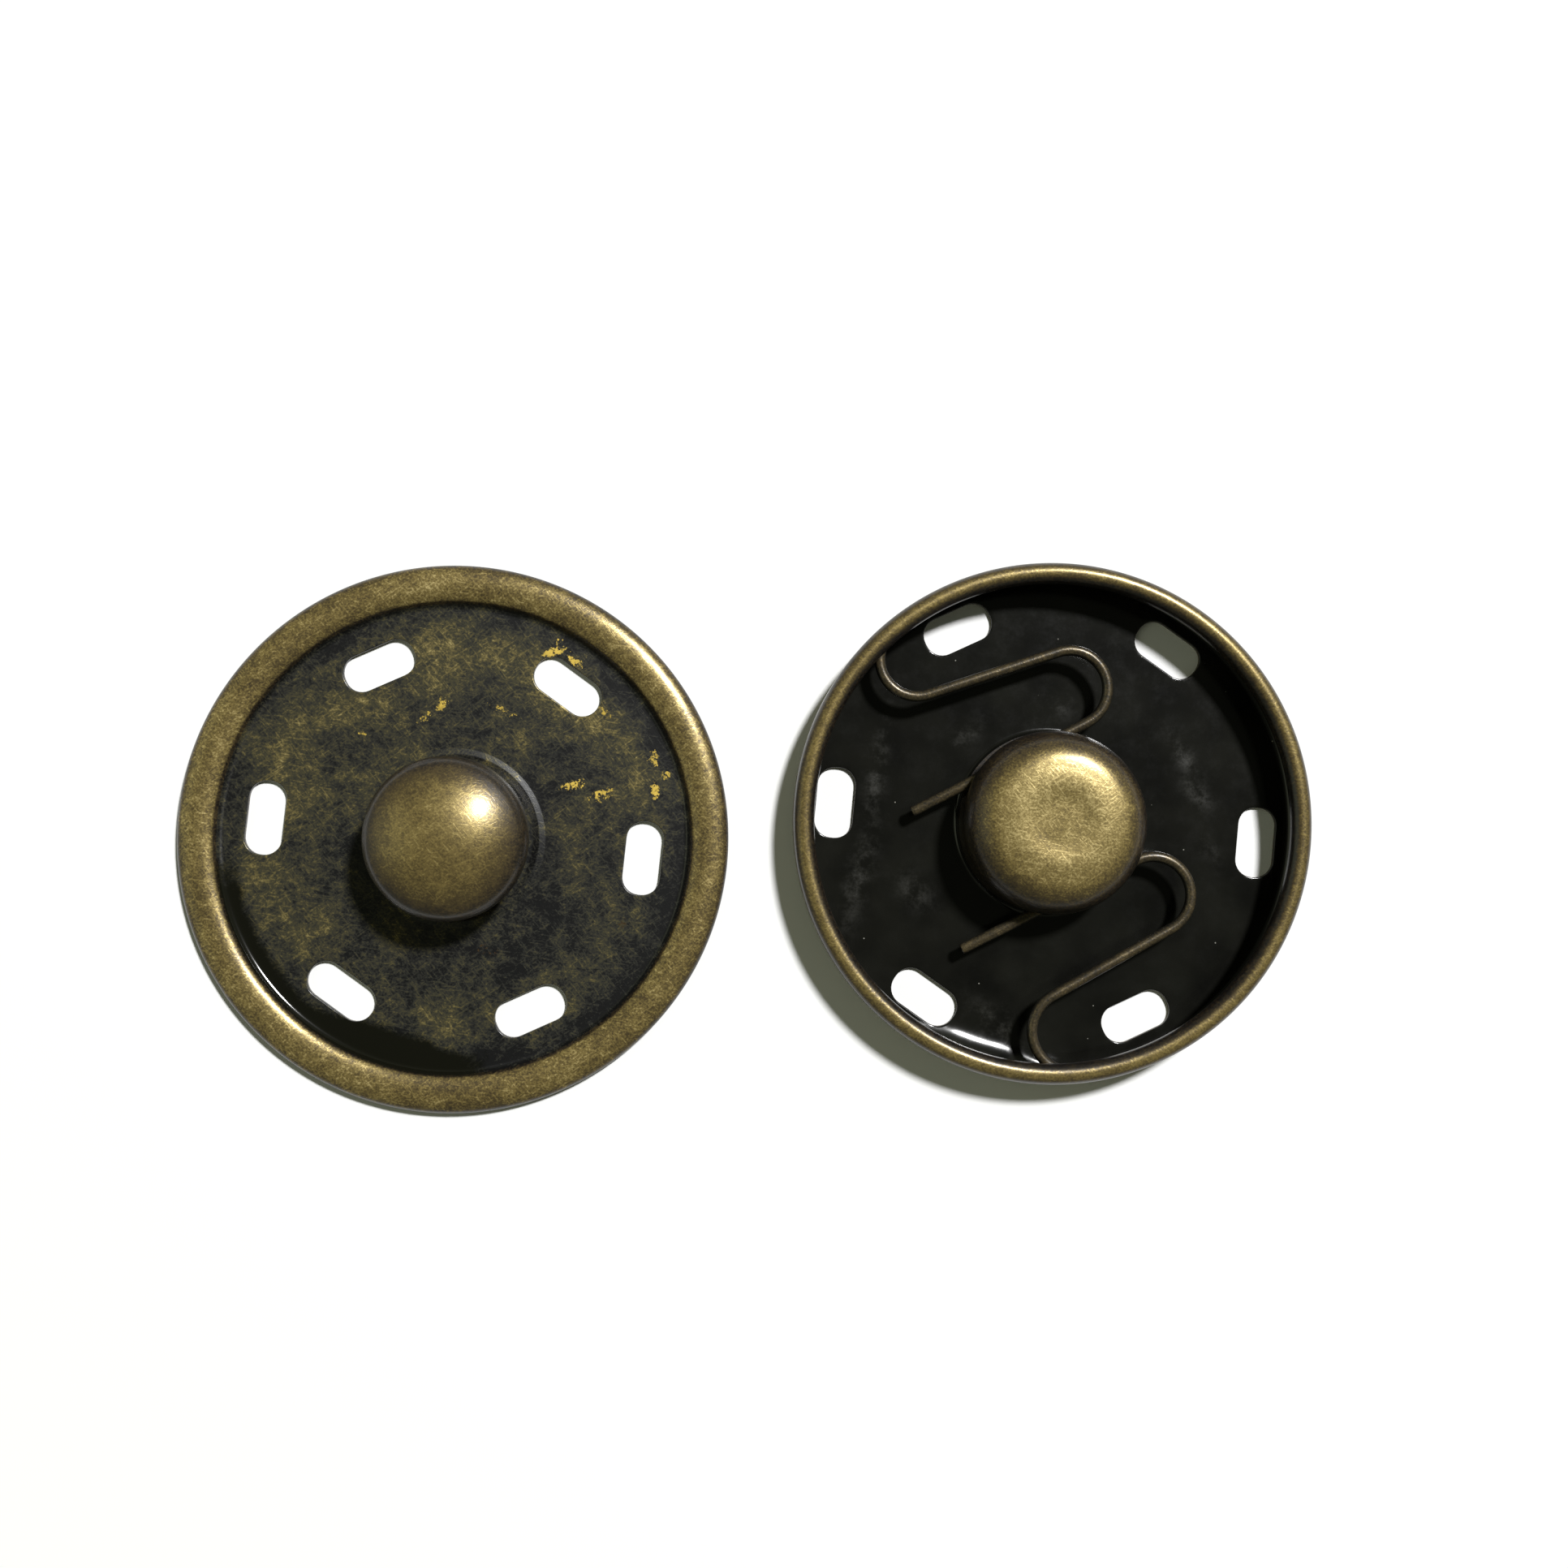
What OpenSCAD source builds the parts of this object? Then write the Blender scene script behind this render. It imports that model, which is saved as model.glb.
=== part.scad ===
// Sew-on snap fastener, coat size: a stud half and a socket half, lying side by side on a table.
// The stud half lies ball up. The socket half lies on its mating face, so its cup and its
// wire spring are open to view. All sizes are in millimetres, and the table is at z = 0.

/* [Pair on the table] */
// Free space between the two discs, along X
pair_gap = 3.5; // [1:0.1:12]
// How much further back the socket half lies, along Y
socket_back_step = 0.85; // [0:0.05:4]

/* [Stud half] */
// Outer diameter of the stud disc
stud_d = 30; // [29:0.1:32]
// Thickness of the stud's sheet brass
stud_t = 0.3; // [0.24:0.01:0.36]
// Diameter of the flat floor inside the raised rim
stud_floor_d = 25.4; // [25:0.1:25.8]
// Height of the raised rim over the table
stud_rim_h = 1.2; // [1.1:0.05:1.4]
// How far the rim's inner wall leans outwards on its way up
stud_wall_lean = 0.5; // [0.3:0.05:0.6]
// Radius of the rim's inner shoulder
stud_shoulder_r = 0.45; // [0.35:0.05:0.5]
// Radius of the corner between floor and rim wall
stud_corner_r = 0.3; // [0.2:0.05:0.35]

/* [Ball] */
// Diameter of the ball where it is widest
ball_d = 8.8; // [8.6:0.05:9]
// Diameter of the neck under the ball
neck_d = 7.2; // [7:0.05:7.4]
// Height of the ball's widest ring over the table
ball_wide_z = 3.1; // [3:0.05:3.3]
// Radius of the shallow dome that closes the ball
dome_r = 7.2; // [7:0.1:9]
// Radius of the shoulder between dome and widest ring
ball_shoulder_r = 1.1; // [0.9:0.05:1.3]
// Radius of the ball's underside, on which the spring bears
ball_under_r = 0.9; // [0.8:0.05:1]
// Hollow radius between the ball's underside and the neck
neck_hollow_r = 0.5; // [0.4:0.05:0.6]
// Radius at the foot of the neck
neck_foot_r = 0.45; // [0.35:0.05:0.5]
// Height of the low ring pressed up round the foot
foot_ring_h = 0.16; // [0.1:0.02:0.2]
// Diameter of that ring at its crest
foot_ring_d = 10.6; // [10.4:0.1:11]

/* [Socket half] */
// Outer diameter of the socket disc
socket_d = 28.4; // [28:0.1:29]
// Thickness of the socket's sheet brass
socket_t = 0.25; // [0.22:0.01:0.28]
// Height of the socket's rolled rim over the table
socket_rim_h = 2.75; // [2.6:0.05:3]
// Inner radius of the corner between floor and outer wall
socket_corner_r = 0.6; // [0.4:0.05:0.7]
// How far the rim is rolled round the wire, in degrees from the outer wall
roll_wrap = 190; // [185:1:195]

/* [Cup] */
// Outer diameter of the cup that takes the ball
cup_d = 10; // [9.9:0.05:10.2]
// Height of the cup over the table
cup_h = 4.5; // [4.45:0.05:4.8]
// Radius of the cup's shoulder
cup_shoulder_r = 1.7; // [1.4:0.05:1.8]
// Depth of the dimple in the cup's top
dimple_depth = 0.1; // [0.06:0.01:0.12]
// Diameter of the dimple at its rim
dimple_d = 4.6; // [4:0.1:4.8]
// Radius of the mouth's rounded lip, on the socket's inner side
mouth_r = 0.3; // [0.2:0.05:0.4]

/* [Sewing slots] */
// Number of slots in each half
slot_n = 6; // [4:1:8]
// Length of a stud slot, end to end
stud_slot_l = 4.05; // [3.6:0.05:4.3]
// Width of a stud slot
stud_slot_w = 2.05; // [1.8:0.05:2.2]
// Radius of the circle on which the stud slots are centred
stud_slot_ring_r = 10.35; // [10.2:0.05:10.8]
// Turn of the stud half about its own axis
stud_turn = -6.2; // [-30:0.1:30]
// Length of a socket slot, end to end
socket_slot_l = 3.9; // [3.6:0.05:4.2]
// Width of a socket slot
socket_slot_w = 2.1; // [1.8:0.05:2.2]
// Radius of the circle on which the socket slots are centred
socket_slot_ring_r = 11.85; // [11.4:0.05:11.9]
// Turn of the socket half's slots about its own axis
socket_turn = -5.4; // [-30:0.1:30]

/* [Spring] */
// Diameter of the spring wire
wire_d = 0.6; // [0.5:0.02:0.64]
// Play of the wire inside the rolled rim, on each side
wire_play = 0.02; // [0.01:0.01:0.05]
// Turn of the spring's mirror line about the socket's axis
spring_turn = 27; // [0:1:60]
// Radius of the two inner hairpin bends, on the wire's centre line
hairpin_r = 2.1; // [1.9:0.05:2.3]
// Room between the wire and the lip of the rolled rim, where it dives under
lip_gap = 0.06; // [0.04:0.01:0.1]
// Height of the wire's centre line at its free ends
free_end_z = 1.2; // [0.9:0.05:1.4]
// Length of rim arc over which the wire drops out of the roll
drop_l = 3.2; // [2.5:0.1:4]

/* [First hairpin] */
// Where the wire leaves the rim, in degrees from the mirror line
first_exit = 102.7; // [100:0.1:106]
// How much its outer leg closes in on the mirror line, in degrees
first_splay = 8.8; // [7:0.1:10]
// Distance of its inner leg from the mirror line
first_leg_v = 4; // [3.9:0.01:4.05]
// Position of its inner bend along the mirror line
first_bend_u = 4.25; // [4:0.05:4.6]
// Length of its inner leg, from that bend to the free end
first_leg_l = 10.8; // [9.5:0.1:11.5]

/* [Second hairpin] */
// Where the wire leaves the rim, in degrees from the mirror line
second_exit = 111.7; // [109:0.1:115]
// How much its outer leg closes in on the mirror line, in degrees
second_splay = 2; // [1:0.1:4]
// Distance of its inner leg from the mirror line
second_leg_v = 3.95; // [3.9:0.01:4.05]
// Position of its inner bend along the mirror line
second_bend_u = 3.15; // [2.9:0.05:3.4]
// Length of its inner leg, from that bend to the free end
second_leg_l = 10.7; // [9.5:0.1:11.5]

/* [Hidden] */

$fn = 96;
bend_steps = 10;          // straight pieces in one rounded bend of a sheet
wire_sides = 14;          // flats round the wire
wire_step_a = 4;          // degrees between two rings of the wire on the rim arc
bend_step_a = 12;         // degrees between two rings in a tight bend
leg_step = 1.2;           // millimetres between two rings on a leg
through = 1;              // how far a cutter runs past the sheet it cuts
window_play = 0.25;       // room between the wire and the window in the cup, each way

brass = "#8a7440";
dark_brass = "#3a3327";
wire_brass = "#6f6142";

stud_r = stud_d / 2;
socket_r = socket_d / 2;
wire_r = wire_d / 2;
cup_r = cup_d / 2;

// The pair's box is centred on the origin
pair_l = stud_d + pair_gap + socket_d;
front_y = min(-stud_r, socket_back_step - socket_r);
back_y = max(stud_r, socket_back_step + socket_r);
stud_pos = [stud_r - pair_l / 2, -(front_y + back_y) / 2, 0];
socket_pos = [pair_l / 2 - socket_r, stud_pos[1] + socket_back_step, 0];

// The rim of the socket is rolled round the wire
roll_in_r = wire_r + wire_play;
roll_out_r = roll_in_r + socket_t;
roll_c = [socket_r - roll_out_r, socket_rim_h - roll_out_r];
lip_z = roll_c[1] + roll_out_r * sin(roll_wrap);
leg_z = lip_z - lip_gap - wire_r;

// The legs of the spring cross the cup through its two windows
window_v = min(first_leg_v, second_leg_v) - wire_r - window_play;
window_top = leg_z + wire_r + window_play;

// Points of a profile are [x, y, heading]: the sheet's seen side is on the left of the heading

// Points on an arc about c
function arc(c, r, a0, a1, n = bend_steps) = [
    for (i = [0 : n])
        let (a = a0 + (a1 - a0) * i / n)
        [c[0] + r * cos(a), c[1] + r * sin(a), a + 90 * sign(a1 - a0)]
];

// The rounded corner at p, on the way from a to b
function corner(a, p, b, r) =
    let (
        u = (p - a) / norm(p - a),
        w = (b - p) / norm(b - p),
        side = sign(cross(u, w)),
        turn = acos(u * w),
        c = p - u * r * tan(turn / 2) + side * r * [-u[1], u[0]],
        a0 = atan2(u[1], u[0]) - side * 90
    )
    arc(c, r, a0, a0 + side * turn);

// A run of rounded corners, each [x, y, radius]; the first and last only give direction
function bends(k) = [
    for (i = [1 : len(k) - 2])
        each corner([k[i - 1][0], k[i - 1][1]], [k[i][0], k[i][1]], [k[i + 1][0], k[i + 1][1]], k[i][2])
];

// A sheet of thickness t whose seen side follows the path
module sheet(path, t) {
    seen = [for (p = path) [p[0], p[1]]];
    hidden = [for (p = path) [p[0] + t * sin(p[2]), p[1] - t * cos(p[2])]];
    last = len(path) - 1;
    polygon(concat(seen, [for (i = [last : -1 : 0]) hidden[i]]));
}

// Tangential slots with round ends, cut right through a floor of thickness t
module slots(n, length, width, ring_r, t) {
    for (i = [0 : n - 1])
        rotate(i * 360 / n)
            translate([ring_r, 0, -through])
                linear_extrude(t + 2 * through)
                    union() {
                        square([width, length - width], center = true);
                        for (s = [-1, 1])
                            translate([0, s * (length - width) / 2])
                                circle(d = width);
                    }
}

// Profile of the stud: dome, widest ring, neck, foot ring, floor, raised rim, rolled edge
function stud_profile() =
    let (
        ball_r = ball_d / 2,
        neck_r = neck_d / 2,
        floor_r = stud_floor_d / 2,
        crest_r = foot_ring_d / 2,
        foot_slope = 0.4,
        // The dome and the shoulder meet where their radii line up
        shoulder_x = ball_r - ball_shoulder_r,
        dome_z = ball_wide_z - sqrt(pow(dome_r - ball_shoulder_r, 2) - pow(shoulder_x, 2)),
        meet_a = atan2(ball_wide_z - dome_z, shoulder_x),
        // The underside curves in and the hollow curves back until the neck is upright
        under_a = acos(1 - (ball_r - neck_r) / (ball_under_r + neck_hollow_r)),
        hollow_z = ball_wide_z - (ball_under_r + neck_hollow_r) * sin(under_a),
        edge_r = stud_rim_h / 2
    )
    concat(
        arc([0, dome_z], dome_r, 90, meet_a),
        arc([shoulder_x, ball_wide_z], ball_shoulder_r, meet_a, 0),
        arc([ball_r - ball_under_r, ball_wide_z], ball_under_r, 0, -under_a),
        arc([neck_r + neck_hollow_r, hollow_z], neck_hollow_r, 180 - under_a, 180),
        bends([
            [neck_r, hollow_z],
            [neck_r, stud_t, neck_foot_r],
            [crest_r - 2 * foot_slope, stud_t, foot_slope / 2],
            [crest_r, stud_t + foot_ring_h, foot_slope],
            [crest_r + 2 * foot_slope, stud_t, foot_slope],
            [floor_r, stud_t, stud_corner_r],
            [floor_r + stud_wall_lean, stud_rim_h, stud_shoulder_r],
            [stud_r - edge_r, stud_rim_h]
        ]),
        arc([stud_r - edge_r, edge_r], edge_r, 90, -90, 2 * bend_steps)
    );

// Profile of the socket: dimple, cup, floor, outer wall, rolled rim
function socket_profile() =
    let (
        wall_r = socket_r - socket_t,
        dimple_r = dimple_d / 2,
        dimple_floor_r = dimple_r / 2,
        dimple_bend_r = dimple_d
    )
    concat(
        [[0, cup_h - dimple_depth, 0]],
        bends([
            [0, cup_h - dimple_depth],
            [dimple_floor_r, cup_h - dimple_depth, dimple_bend_r],
            [dimple_r, cup_h, dimple_bend_r],
            [cup_r, cup_h, cup_shoulder_r],
            [cup_r, socket_t, mouth_r],
            [wall_r, socket_t, socket_corner_r],
            [wall_r, roll_c[1]]
        ]),
        arc(roll_c, roll_in_r, 0, roll_wrap, 2 * bend_steps)
    );

// One stamping: disc, rim and ball are drawn from a single blank, so the ball is hollow behind
module stud_plate() {
    color(brass)
        translate(stud_pos)
            rotate(stud_turn)
                difference() {
                    rotate_extrude()
                        sheet(stud_profile(), stud_t);
                    slots(slot_n, stud_slot_l, stud_slot_w, stud_slot_ring_r, stud_t);
                }
}

// One stamping: disc, cup and rolled rim, with two windows lanced in the cup for the wire
module socket_plate() {
    color(dark_brass)
        translate(socket_pos)
            difference() {
                rotate_extrude()
                    sheet(socket_profile(), socket_t);
                rotate(socket_turn)
                    slots(slot_n, socket_slot_l, socket_slot_w, socket_slot_ring_r, socket_t);
                rotate(spring_turn)
                    for (s = [-1, 1])
                        translate([-cup_r, s > 0 ? window_v : -window_v - cup_r, socket_t + mouth_r])
                            cube([cup_d, cup_r, window_top - socket_t - mouth_r]);
            }
}

// The free half of the spring, from the rim arc inwards, as [x, y, z] with x on the mirror line
// and y away from it: the outer bend, the outer leg, the hairpin bend and the inner leg
function hairpin(exit, splay, leg_v, bend_u, leg_l) =
    let (
        rim_r = roll_c[0],
        c_in = [bend_u, leg_v + hairpin_r],
        n = [sin(splay), cos(splay)],
        reach = c_in * n + hairpin_r,
        closeness = cos(exit - 90 + splay),
        // The outer bend touches both the rim arc and the outer leg
        out_r = (rim_r * closeness - reach) / (1 + closeness),
        c_out = (rim_r - out_r) * [cos(exit), sin(exit)],
        out_end_a = 270 - splay,
        leg_from = c_out - out_r * n,
        leg_to = c_in + hairpin_r * n,
        leg_span = norm(leg_to - leg_from),
        out_n = ceil((out_end_a - exit) / bend_step_a),
        in_n = ceil((180 - splay) / bend_step_a),
        leg_n = ceil(leg_span / leg_step),
        inner_n = ceil(leg_l / leg_step)
    )
    concat(
        [for (i = [1 : out_n])
            let (a = exit + (out_end_a - exit) * i / out_n)
            [c_out[0] + out_r * cos(a), c_out[1] + out_r * sin(a), leg_z]],
        [for (i = [1 : leg_n])
            let (p = leg_from + (leg_to - leg_from) * i / leg_n)
            [p[0], p[1], leg_z]],
        [for (i = [1 : in_n])
            let (a = 90 - splay - (180 - splay) * i / in_n)
            [c_in[0] + hairpin_r * cos(a), c_in[1] + hairpin_r * sin(a), leg_z]],
        [for (i = [1 : inner_n])
            let (f = i / inner_n)
            [bend_u - leg_l * f, leg_v, leg_z + (free_end_z - leg_z) * (1 - cos(90 * f))]]
    );

// The stretch of wire inside the rolled rim, which drops out of the roll at both ends
function rim_arc(a_from, a_to) =
    let (
        n = ceil((a_from - a_to) / wire_step_a),
        drop_a = drop_l / roll_c[0] * 180 / PI
    )
    [for (i = [0 : n])
        let (
            a = a_from + (a_to - a_from) * i / n,
            inside = min(1, (a_from - a) / drop_a, (a - a_to) / drop_a)
        )
        [roll_c[0] * cos(a), roll_c[0] * sin(a), leg_z + (roll_c[1] - leg_z) * (1 - cos(180 * inside)) / 2]];

// Centre line of the whole spring, from one free end to the other
function spring_line() =
    let (
        first = hairpin(first_exit, first_splay, first_leg_v, first_bend_u, first_leg_l),
        second = hairpin(second_exit, second_splay, second_leg_v, second_bend_u, second_leg_l)
    )
    concat(
        [for (i = [len(first) - 1 : -1 : 0]) first[i]],
        rim_arc(first_exit, -second_exit),
        [for (p = second) [p[0], -p[1], p[2]]]
    );

// A round wire of radius r swept along the points of a line that never runs upright
module wire(line, r) {
    last = len(line) - 1;
    rings = [
        for (i = [0 : last])
            let (
                ahead = line[min(i + 1, last)] - line[max(i - 1, 0)],
                t = ahead / norm(ahead),
                side_way = cross([0, 0, 1], t),
                side = side_way / norm(side_way),
                up = cross(t, side)
            )
            [for (k = [0 : wire_sides - 1])
                let (a = 360 * k / wire_sides)
                line[i] + r * (cos(a) * side + sin(a) * up)]
    ];
    skin = [
        for (i = [0 : last - 1])
            for (k = [0 : wire_sides - 1])
                let (
                    k2 = (k + 1) % wire_sides,
                    base = i * wire_sides
                )
                [base + k, base + wire_sides + k, base + wire_sides + k2, base + k2]
    ];
    start_cap = [[for (k = [0 : wire_sides - 1]) k]];
    end_cap = [[for (k = [wire_sides - 1 : -1 : 0]) last * wire_sides + k]];
    polyhedron(points = [for (ring = rings) each ring], faces = concat(skin, start_cap, end_cap));
}

// One bent wire: its arc springs outwards into the rolled rim, and its two inner legs run
// through the cup's windows, where they close behind the ball
module spring_wire() {
    color(wire_brass)
        translate(socket_pos)
            rotate(spring_turn)
                wire(spring_line(), wire_r);
}

stud_plate();
socket_plate();
spring_wire();
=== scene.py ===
"""Looks of a sew-on snap fastener: its stud half, its socket half and the socket's spring wire.

The CAD model is the fixed frame. Each stamping and the wire are built again here as fine meshes in
the same place and at the same size, and dressed as blackened brass that was tumbled bright.
Lengths are in millimetres until a mesh is made, and angles are in degrees.
"""

import logging
from dataclasses import dataclass, field
from enum import Enum
from math import acos, atan2, ceil, cos, degrees, hypot, pi, radians, sin, sqrt, tan

import bmesh
import bpy
import numpy as np
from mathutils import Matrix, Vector


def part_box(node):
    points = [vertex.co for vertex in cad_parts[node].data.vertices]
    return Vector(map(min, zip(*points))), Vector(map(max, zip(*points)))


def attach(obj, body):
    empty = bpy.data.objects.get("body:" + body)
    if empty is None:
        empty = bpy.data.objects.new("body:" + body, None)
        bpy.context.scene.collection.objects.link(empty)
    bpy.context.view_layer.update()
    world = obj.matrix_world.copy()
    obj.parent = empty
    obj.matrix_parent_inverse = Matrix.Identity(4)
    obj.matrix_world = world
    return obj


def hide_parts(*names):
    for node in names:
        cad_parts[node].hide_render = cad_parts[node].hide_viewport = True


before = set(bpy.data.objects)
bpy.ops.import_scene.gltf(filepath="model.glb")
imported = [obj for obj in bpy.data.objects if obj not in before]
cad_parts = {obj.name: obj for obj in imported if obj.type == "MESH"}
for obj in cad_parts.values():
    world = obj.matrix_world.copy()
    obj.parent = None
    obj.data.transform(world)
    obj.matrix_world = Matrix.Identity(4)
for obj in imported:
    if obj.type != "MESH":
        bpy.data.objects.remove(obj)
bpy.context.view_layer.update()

log = logging.getLogger("snap_fastener")

MM = 0.001
PICTURE_SIDE = 1932  # pixels, both ways
SENSOR_W = 36.0
SOFT = {"interpolation_type": "SMOOTHSTEP"}


class Body(Enum):
    """The frame's rigid bodies."""

    ROOT = "root"


class Slot(Enum):
    """Names for material slots, which this script does not give to any piece."""

    STUD = "antique_brass_stud"
    SOCKET = "blackened_brass_socket"
    WIRE = "bronzed_spring_wire"


class Field(Enum):
    """Numbers kept on each mesh point, which the finishes read."""

    # Rubbed brightness of the crests, together with painted shade that darkens a surface as it turns from up.
    POLISH_AND_SHADE = "polish_and_shade"
    BITE = "bite"
    GOLD = "gold"
    RUST = "rust"
    POOL = "pool"
    SMEAR = "smear"


# Colour and shader nodes


def linear(hex_colour: str) -> tuple[float, float, float, float]:
    """Turns an sRGB hex colour into the linear colour that the shaders take.

    Args:
        hex_colour: a colour such as "#8a7440".

    Returns:
        Linear red, green, blue, and an alpha of 1.
    """
    channels = [int(hex_colour[i : i + 2], 16) / 255 for i in (1, 3, 5)]
    red, green, blue = [c / 12.92 if c <= 0.04045 else ((c + 0.055) / 1.055) ** 2.4 for c in channels]
    return red, green, blue, 1.0


def add(
    tree: bpy.types.NodeTree,
    kind: str,
    settings: dict | None = None,
    inputs: dict | None = None,
    stops: tuple[tuple[float, str], ...] = (),
) -> bpy.types.Node:
    """Adds a node with its settings and its links.

    Args:
        tree: the node tree that takes the node.
        kind: the node's type, without "ShaderNode".
        settings: the node's own properties.
        inputs: a value, or a socket to link from, for each input by its name or number.
        stops: for a colour ramp, places from 0 to 1 with their sRGB hex colours, in order.

    Returns:
        The new node.
    """
    node = tree.nodes.new("ShaderNode" + kind)
    for i, (place, colour) in enumerate(stops):
        elements = node.color_ramp.elements
        element = elements[i] if i < len(elements) else elements.new(place)
        element.position = place
        element.color = linear(colour)
    for key, value in (settings or {}).items():
        setattr(node, key, value)
    for key, value in (inputs or {}).items():
        if isinstance(value, bpy.types.NodeSocket):
            tree.links.new(value, node.inputs[key])
        else:
            node.inputs[key].default_value = value
    return node


def weighted_sum(tree: bpy.types.NodeTree, terms: list[tuple[bpy.types.NodeSocket, float]]) -> bpy.types.NodeSocket:
    """Adds up values, each times its own weight.

    Args:
        tree: the material's node tree.
        terms: the values with their weights.

    Returns:
        The sum's socket.
    """
    total = None
    for value, weight in terms:
        adds = {0: value, 1: weight, 2: 0.0 if total is None else total}
        total = add(tree, "Math", {"operation": "MULTIPLY_ADD"}, adds).outputs[0]
    return total


def new_material(name: str) -> tuple[bpy.types.Material, bpy.types.Node]:
    """Makes a material with one Principled shader.

    Args:
        name: the material's name.

    Returns:
        The material and its shader node.
    """
    material = bpy.data.materials.new(name)
    material.use_nodes = True
    return material, material.node_tree.nodes["Principled BSDF"]


# Finishes


@dataclass(frozen=True)
class AntiqueBrass:
    """Rolled brass sheet, blackened in a bath, tumbled until its high spots are bright, and lacquered.

    To the eye: olive gold on the crests, brown on the flanks and grey-black in the hollows, with
    short crossing scratches that sparkle, because the tumbling stones drag along the sheet. The
    brown of the flanks is partly painted shade: the tone falls as a surface turns from up. The
    thin lacquer adds a small white highlight over the broad gold one.
    """

    name: str
    stops: tuple[tuple[float, str], ...] = (
        (0.0, "#0f0c0a"),
        (0.18, "#32291c"),
        (0.4, "#5c4f33"),
        (0.66, "#97844f"),
        (1.0, "#eed898"),
    )
    gold: str = "#dcbc54"      # bare brass, where the black has flaked off
    rust: str = "#42311a"      # brown bloom left by the bath
    pool: str = "#12120c"      # dried lacquer
    grain_mm: float = 0.12     # grit of the tumbling stones
    scratch_mm: float = 0.7    # length of one scratch, drawn coarser than real so that it shows
    mottle_mm: float = 0.7     # uneven bite of the blackening bath
    cloud_mm: float = 4.0      # slow drift of the tone
    flake_mm: float = 0.13     # width of one flake of the black
    bloom_mm: float = 0.3      # width of one spot of the brown bloom
    grain_weight: float = 0.9
    scratch_weight: float = 0.16
    mottle_weight: float = 0.6
    cloud_weight: float = 0.4
    bareness: float = 0.5      # share of bare metal where it is brightest, under a thin brown film
    rough_dark: float = 0.36
    rough_bright: float = 0.34
    coat: float = 0.3
    coat_rough: float = 0.2
    bump_mm: float = 0.004

    def material(self) -> bpy.types.Material:
        """Builds the finish as a node material, which reads the mesh's fields."""
        material, shader = new_material(self.name)
        tree = material.node_tree
        place = add(tree, "TexCoord").outputs["Object"]
        place = add(tree, "VectorMath", {"operation": "SCALE"}, {0: place, "Scale": 1 / MM}).outputs[0]
        fields = {f: add(tree, "Attribute", {"attribute_name": f.value}).outputs["Fac"] for f in Field}
        noises = []
        for size, detail in ((self.grain_mm, 2.0), (self.mottle_mm, 5.0), (self.cloud_mm, 2.0)):
            settings = {"Vector": place, "Scale": 1 / size, "Detail": detail, "Roughness": 0.62}
            noises.append(add(tree, "TexNoise", inputs=settings).outputs["Fac"])
        grain, mottle, cloud = noises
        scratches = self.scratches(tree, place)
        uneven = weighted_sum(tree, [
            (grain, self.grain_weight),
            (mottle, self.mottle_weight),
            (cloud, self.cloud_weight),
            (scratches, self.scratch_weight),
        ])
        # A noise is 0.5 on average, so half of the noises' weights comes off again
        middle = (self.grain_weight + self.mottle_weight + self.cloud_weight) / 2
        uneven = add(tree, "Math", {"operation": "SUBTRACT"}, {0: uneven, 1: middle}).outputs[0]
        # The tone adds the rubbed brightness of the crests and painted shade, which darkens each flank by how far it
        # turns from up.
        spread = {0: uneven, 1: fields[Field.BITE], 2: fields[Field.POLISH_AND_SHADE]}
        tone = add(tree, "Math", {"operation": "MULTIPLY_ADD", "use_clamp": True}, spread).outputs[0]
        colour = add(tree, "ValToRGB", inputs={"Fac": tone}, stops=self.stops).outputs["Color"]
        gold = self.flakes(tree, fields[Field.GOLD], place, self.flake_mm)
        rust = self.flakes(tree, fields[Field.RUST], place, self.bloom_mm)
        wet = weighted_sum(tree, [(fields[Field.POOL], 1.0), (mottle, 0.5)])
        pool = add(tree, "MapRange", SOFT, {"Value": wet, 1: 0.1, 2: 0.4}).outputs[0]
        for mask, tint in ((rust, self.rust), (gold, self.gold), (pool, self.pool)):
            mix = add(tree, "Mix", {"data_type": "RGBA"}, {"Factor": mask, 6: colour, 7: linear(tint)})
            colour = mix.outputs[2]
        metal = add(tree, "MapRange", SOFT, {"Value": tone, 1: 0.02, 2: 0.5, 4: self.bareness}).outputs[0]
        dry = add(tree, "Math", {"operation": "SUBTRACT"}, {0: 1.0, 1: pool}).outputs[0]
        metal = add(tree, "Math", {"operation": "MULTIPLY"}, {0: metal, 1: dry}).outputs[0]
        spans = {"Value": tone, 1: 0.0, 2: 0.8, 3: self.rough_dark, 4: self.rough_bright}
        rough = add(tree, "MapRange", inputs=spans).outputs[0]
        rough = add(tree, "Mix", inputs={"Factor": pool, 2: rough, 3: 0.1}).outputs[0]
        coat = add(tree, "Math", {"operation": "MULTIPLY"}, {0: dry, 1: self.coat}).outputs[0]
        height = weighted_sum(tree, [(grain, 0.7), (scratches, 0.3), (mottle, 0.6)])
        height = add(tree, "Math", {"operation": "MULTIPLY"}, {0: height, 1: dry}).outputs[0]
        bump = add(tree, "Bump", inputs={"Strength": 1.0, "Distance": self.bump_mm * MM, "Height": height})
        links = (("Base Color", colour), ("Metallic", metal), ("Roughness", rough), ("Coat Weight", coat))
        for name, socket in links:
            tree.links.new(socket, shader.inputs[name])
        shader.inputs["Coat Roughness"].default_value = self.coat_rough
        for name in ("Normal", "Coat Normal"):
            tree.links.new(bump.outputs["Normal"], shader.inputs[name])
        return material

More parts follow.
